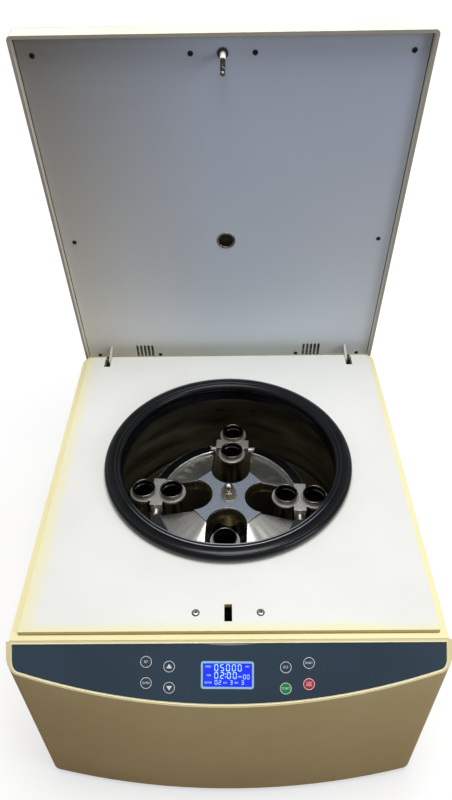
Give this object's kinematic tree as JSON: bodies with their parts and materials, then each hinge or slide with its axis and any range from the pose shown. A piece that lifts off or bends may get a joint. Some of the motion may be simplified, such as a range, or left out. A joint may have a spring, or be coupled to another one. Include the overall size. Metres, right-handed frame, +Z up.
{
  "type": "butterfat centrifuge",
  "caption": "Bench centrifuge for milk fat tests: bowed cabinet with a sloping control panel, hinged lid, round gasketed chamber and a swing-out rotor that carries paired tube sleeves.",
  "frame": {"origin": "on the bench, under the middle of the box round the machine with its lid open as pictured", "axes": "+Z up, -Y towards the user and the control panel, +X to the user's right"},
  "size_m": [0.505, 0.6258, 0.8376],
  "materials": {
    "cabinet": "satin",
    "fascia": "satin",
    "deck": "satin",
    "lid": "satin",
    "liner": "satin",
    "panel": "satin",
    "display_border": "satin",
    "display": "gloss",
    "key": "satin",
    "green_key": "satin",
    "red_key": "satin",
    "board": "matte",
    "rubber": "matte",
    "stainless": "brushed",
    "bowl": "polished",
    "screw": "satin",
    "chassis": "satin",
    "motor": "matte",
    "rotor": "brushed",
    "hub": "satin",
    "bucket": "satin",
    "nut": "satin",
    "arm": "satin",
    "lens": "clear",
    "black_plastic": "matte"
  },
  "bodies": {
    "base": {"base_pan": "chassis", "rubber_feet": "rubber", "cabinet_shell": "cabinet", "cabinet_top": "cabinet", "deck_plate": "deck", "deck_screws": "screw", "front_fascia": "fascia", "control_panel": "panel", "display_frame": "display_border", "display_glass": "display", "keypad_board": "board", "chamber_bowl": "bowl", "chamber_gasket": "rubber", "guard_ring": "chassis", "motor_stand": "chassis", "vibration_dampers": "rubber", "motor_mount": "chassis", "motor_housing": "motor", "motor_bearings": "screw", "shaft_seal": "rubber", "inverter_board": "board", "mains_inlet": "black_plastic", "switch_frame": "black_plastic", "latch_housing": "black_plastic", "latch_solenoid": "motor", "hinge_brackets": "chassis", "hinge_pins": "screw"},
    "lid": {"lid_shell": "lid", "lid_liner": "liner", "liner_screws": "screw", "hinge_arms": "arm", "sight_tube": "stainless", "sight_lens": "lens", "striker_pin": "stainless", "striker_grommet": "rubber"},
    "rotor": {"drive_spindle": "stainless", "motor_core": "motor", "rotor_head": "rotor", "hub_plate": "hub", "rotor_washer": "screw", "rotor_nut": "nut", "dome_nut": "screw"},
    "right_swing": {"right_bucket": "bucket", "right_tubes": "stainless"},
    "rear_swing": {"rear_bucket": "bucket", "rear_tubes": "stainless"},
    "left_swing": {"left_bucket": "bucket", "left_tubes": "stainless"},
    "front_swing": {"front_bucket": "bucket", "front_tubes": "stainless"},
    "set_key_body": {"set_key": "key"},
    "enter_key_body": {"enter_key": "key"},
    "up_key_body": {"up_key": "key"},
    "down_key_body": {"down_key": "key"},
    "force_key_body": {"force_key": "key"},
    "start_key_body": {"start_key": "green_key"},
    "short_key_body": {"short_key": "key"},
    "stop_key_body": {"stop_key": "red_key"},
    "bolt": {"latch_bolt": "stainless"},
    "rocker": {"power_rocker": "black_plastic"}
  },
  "joints": [
    {"name": "lid_hinge", "type": "hinge", "parent": "base", "child": "lid", "pos_m": [0, 0.25906, 0.3163], "axis": [1, 0, 0], "range_deg": [0, 81.4]},
    {"name": "rotor_spin", "type": "hinge", "parent": "base", "child": "rotor", "pos_m": [0, 0.00906, 0.24], "axis": [0, 0, 1], "continuous": true},
    {"name": "right_bucket_swing", "type": "hinge", "parent": "rotor", "child": "right_swing", "pos_m": [0.10681, 0.00271, 0.241], "axis": [-0.0593, -0.9982, 0], "range_deg": [0, 90]},
    {"name": "rear_bucket_swing", "type": "hinge", "parent": "rotor", "child": "rear_swing", "pos_m": [0.00635, 0.11587, 0.241], "axis": [0.9982, -0.0593, 0], "range_deg": [0, 90]},
    {"name": "left_bucket_swing", "type": "hinge", "parent": "rotor", "child": "left_swing", "pos_m": [-0.10681, 0.01541, 0.241], "axis": [0.0593, 0.9982, 0], "range_deg": [0, 90]},
    {"name": "front_bucket_swing", "type": "hinge", "parent": "rotor", "child": "front_swing", "pos_m": [-0.00635, -0.09775, 0.241], "axis": [-0.9982, 0.0593, 0], "range_deg": [0, 90]},
    {"name": "set_key_press", "type": "slide", "parent": "base", "child": "set_key_body", "axis": [0, 0.7431, -0.6691], "range_m": [0, 0.0006], "stiffness_N_per_m": 1500},
    {"name": "enter_key_press", "type": "slide", "parent": "base", "child": "enter_key_body", "axis": [0, 0.7431, -0.6691], "range_m": [0, 0.0006], "stiffness_N_per_m": 1500},
    {"name": "up_key_press", "type": "slide", "parent": "base", "child": "up_key_body", "axis": [0, 0.7431, -0.6691], "range_m": [0, 0.0006], "stiffness_N_per_m": 1500},
    {"name": "down_key_press", "type": "slide", "parent": "base", "child": "down_key_body", "axis": [0, 0.7431, -0.6691], "range_m": [0, 0.0006], "stiffness_N_per_m": 1500},
    {"name": "force_key_press", "type": "slide", "parent": "base", "child": "force_key_body", "axis": [0, 0.7431, -0.6691], "range_m": [0, 0.0006], "stiffness_N_per_m": 1500},
    {"name": "start_key_press", "type": "slide", "parent": "base", "child": "start_key_body", "axis": [0, 0.7431, -0.6691], "range_m": [0, 0.0006], "stiffness_N_per_m": 1500},
    {"name": "short_key_press", "type": "slide", "parent": "base", "child": "short_key_body", "axis": [0, 0.7431, -0.6691], "range_m": [0, 0.0006], "stiffness_N_per_m": 1500},
    {"name": "stop_key_press", "type": "slide", "parent": "base", "child": "stop_key_body", "axis": [0, 0.7431, -0.6691], "range_m": [0, 0.0006], "stiffness_N_per_m": 1500},
    {"name": "latch_bolt_slide", "type": "slide", "parent": "base", "child": "bolt", "axis": [-1, 0, 0], "range_m": [0, 0.01], "stiffness_N_per_m": 150},
    {"name": "power_rocker_tilt", "type": "hinge", "parent": "base", "child": "rocker", "pos_m": [-0.096, 0.26506, 0.075], "axis": [1, 0, 0], "range_deg": [-16, 0]}
  ]
}
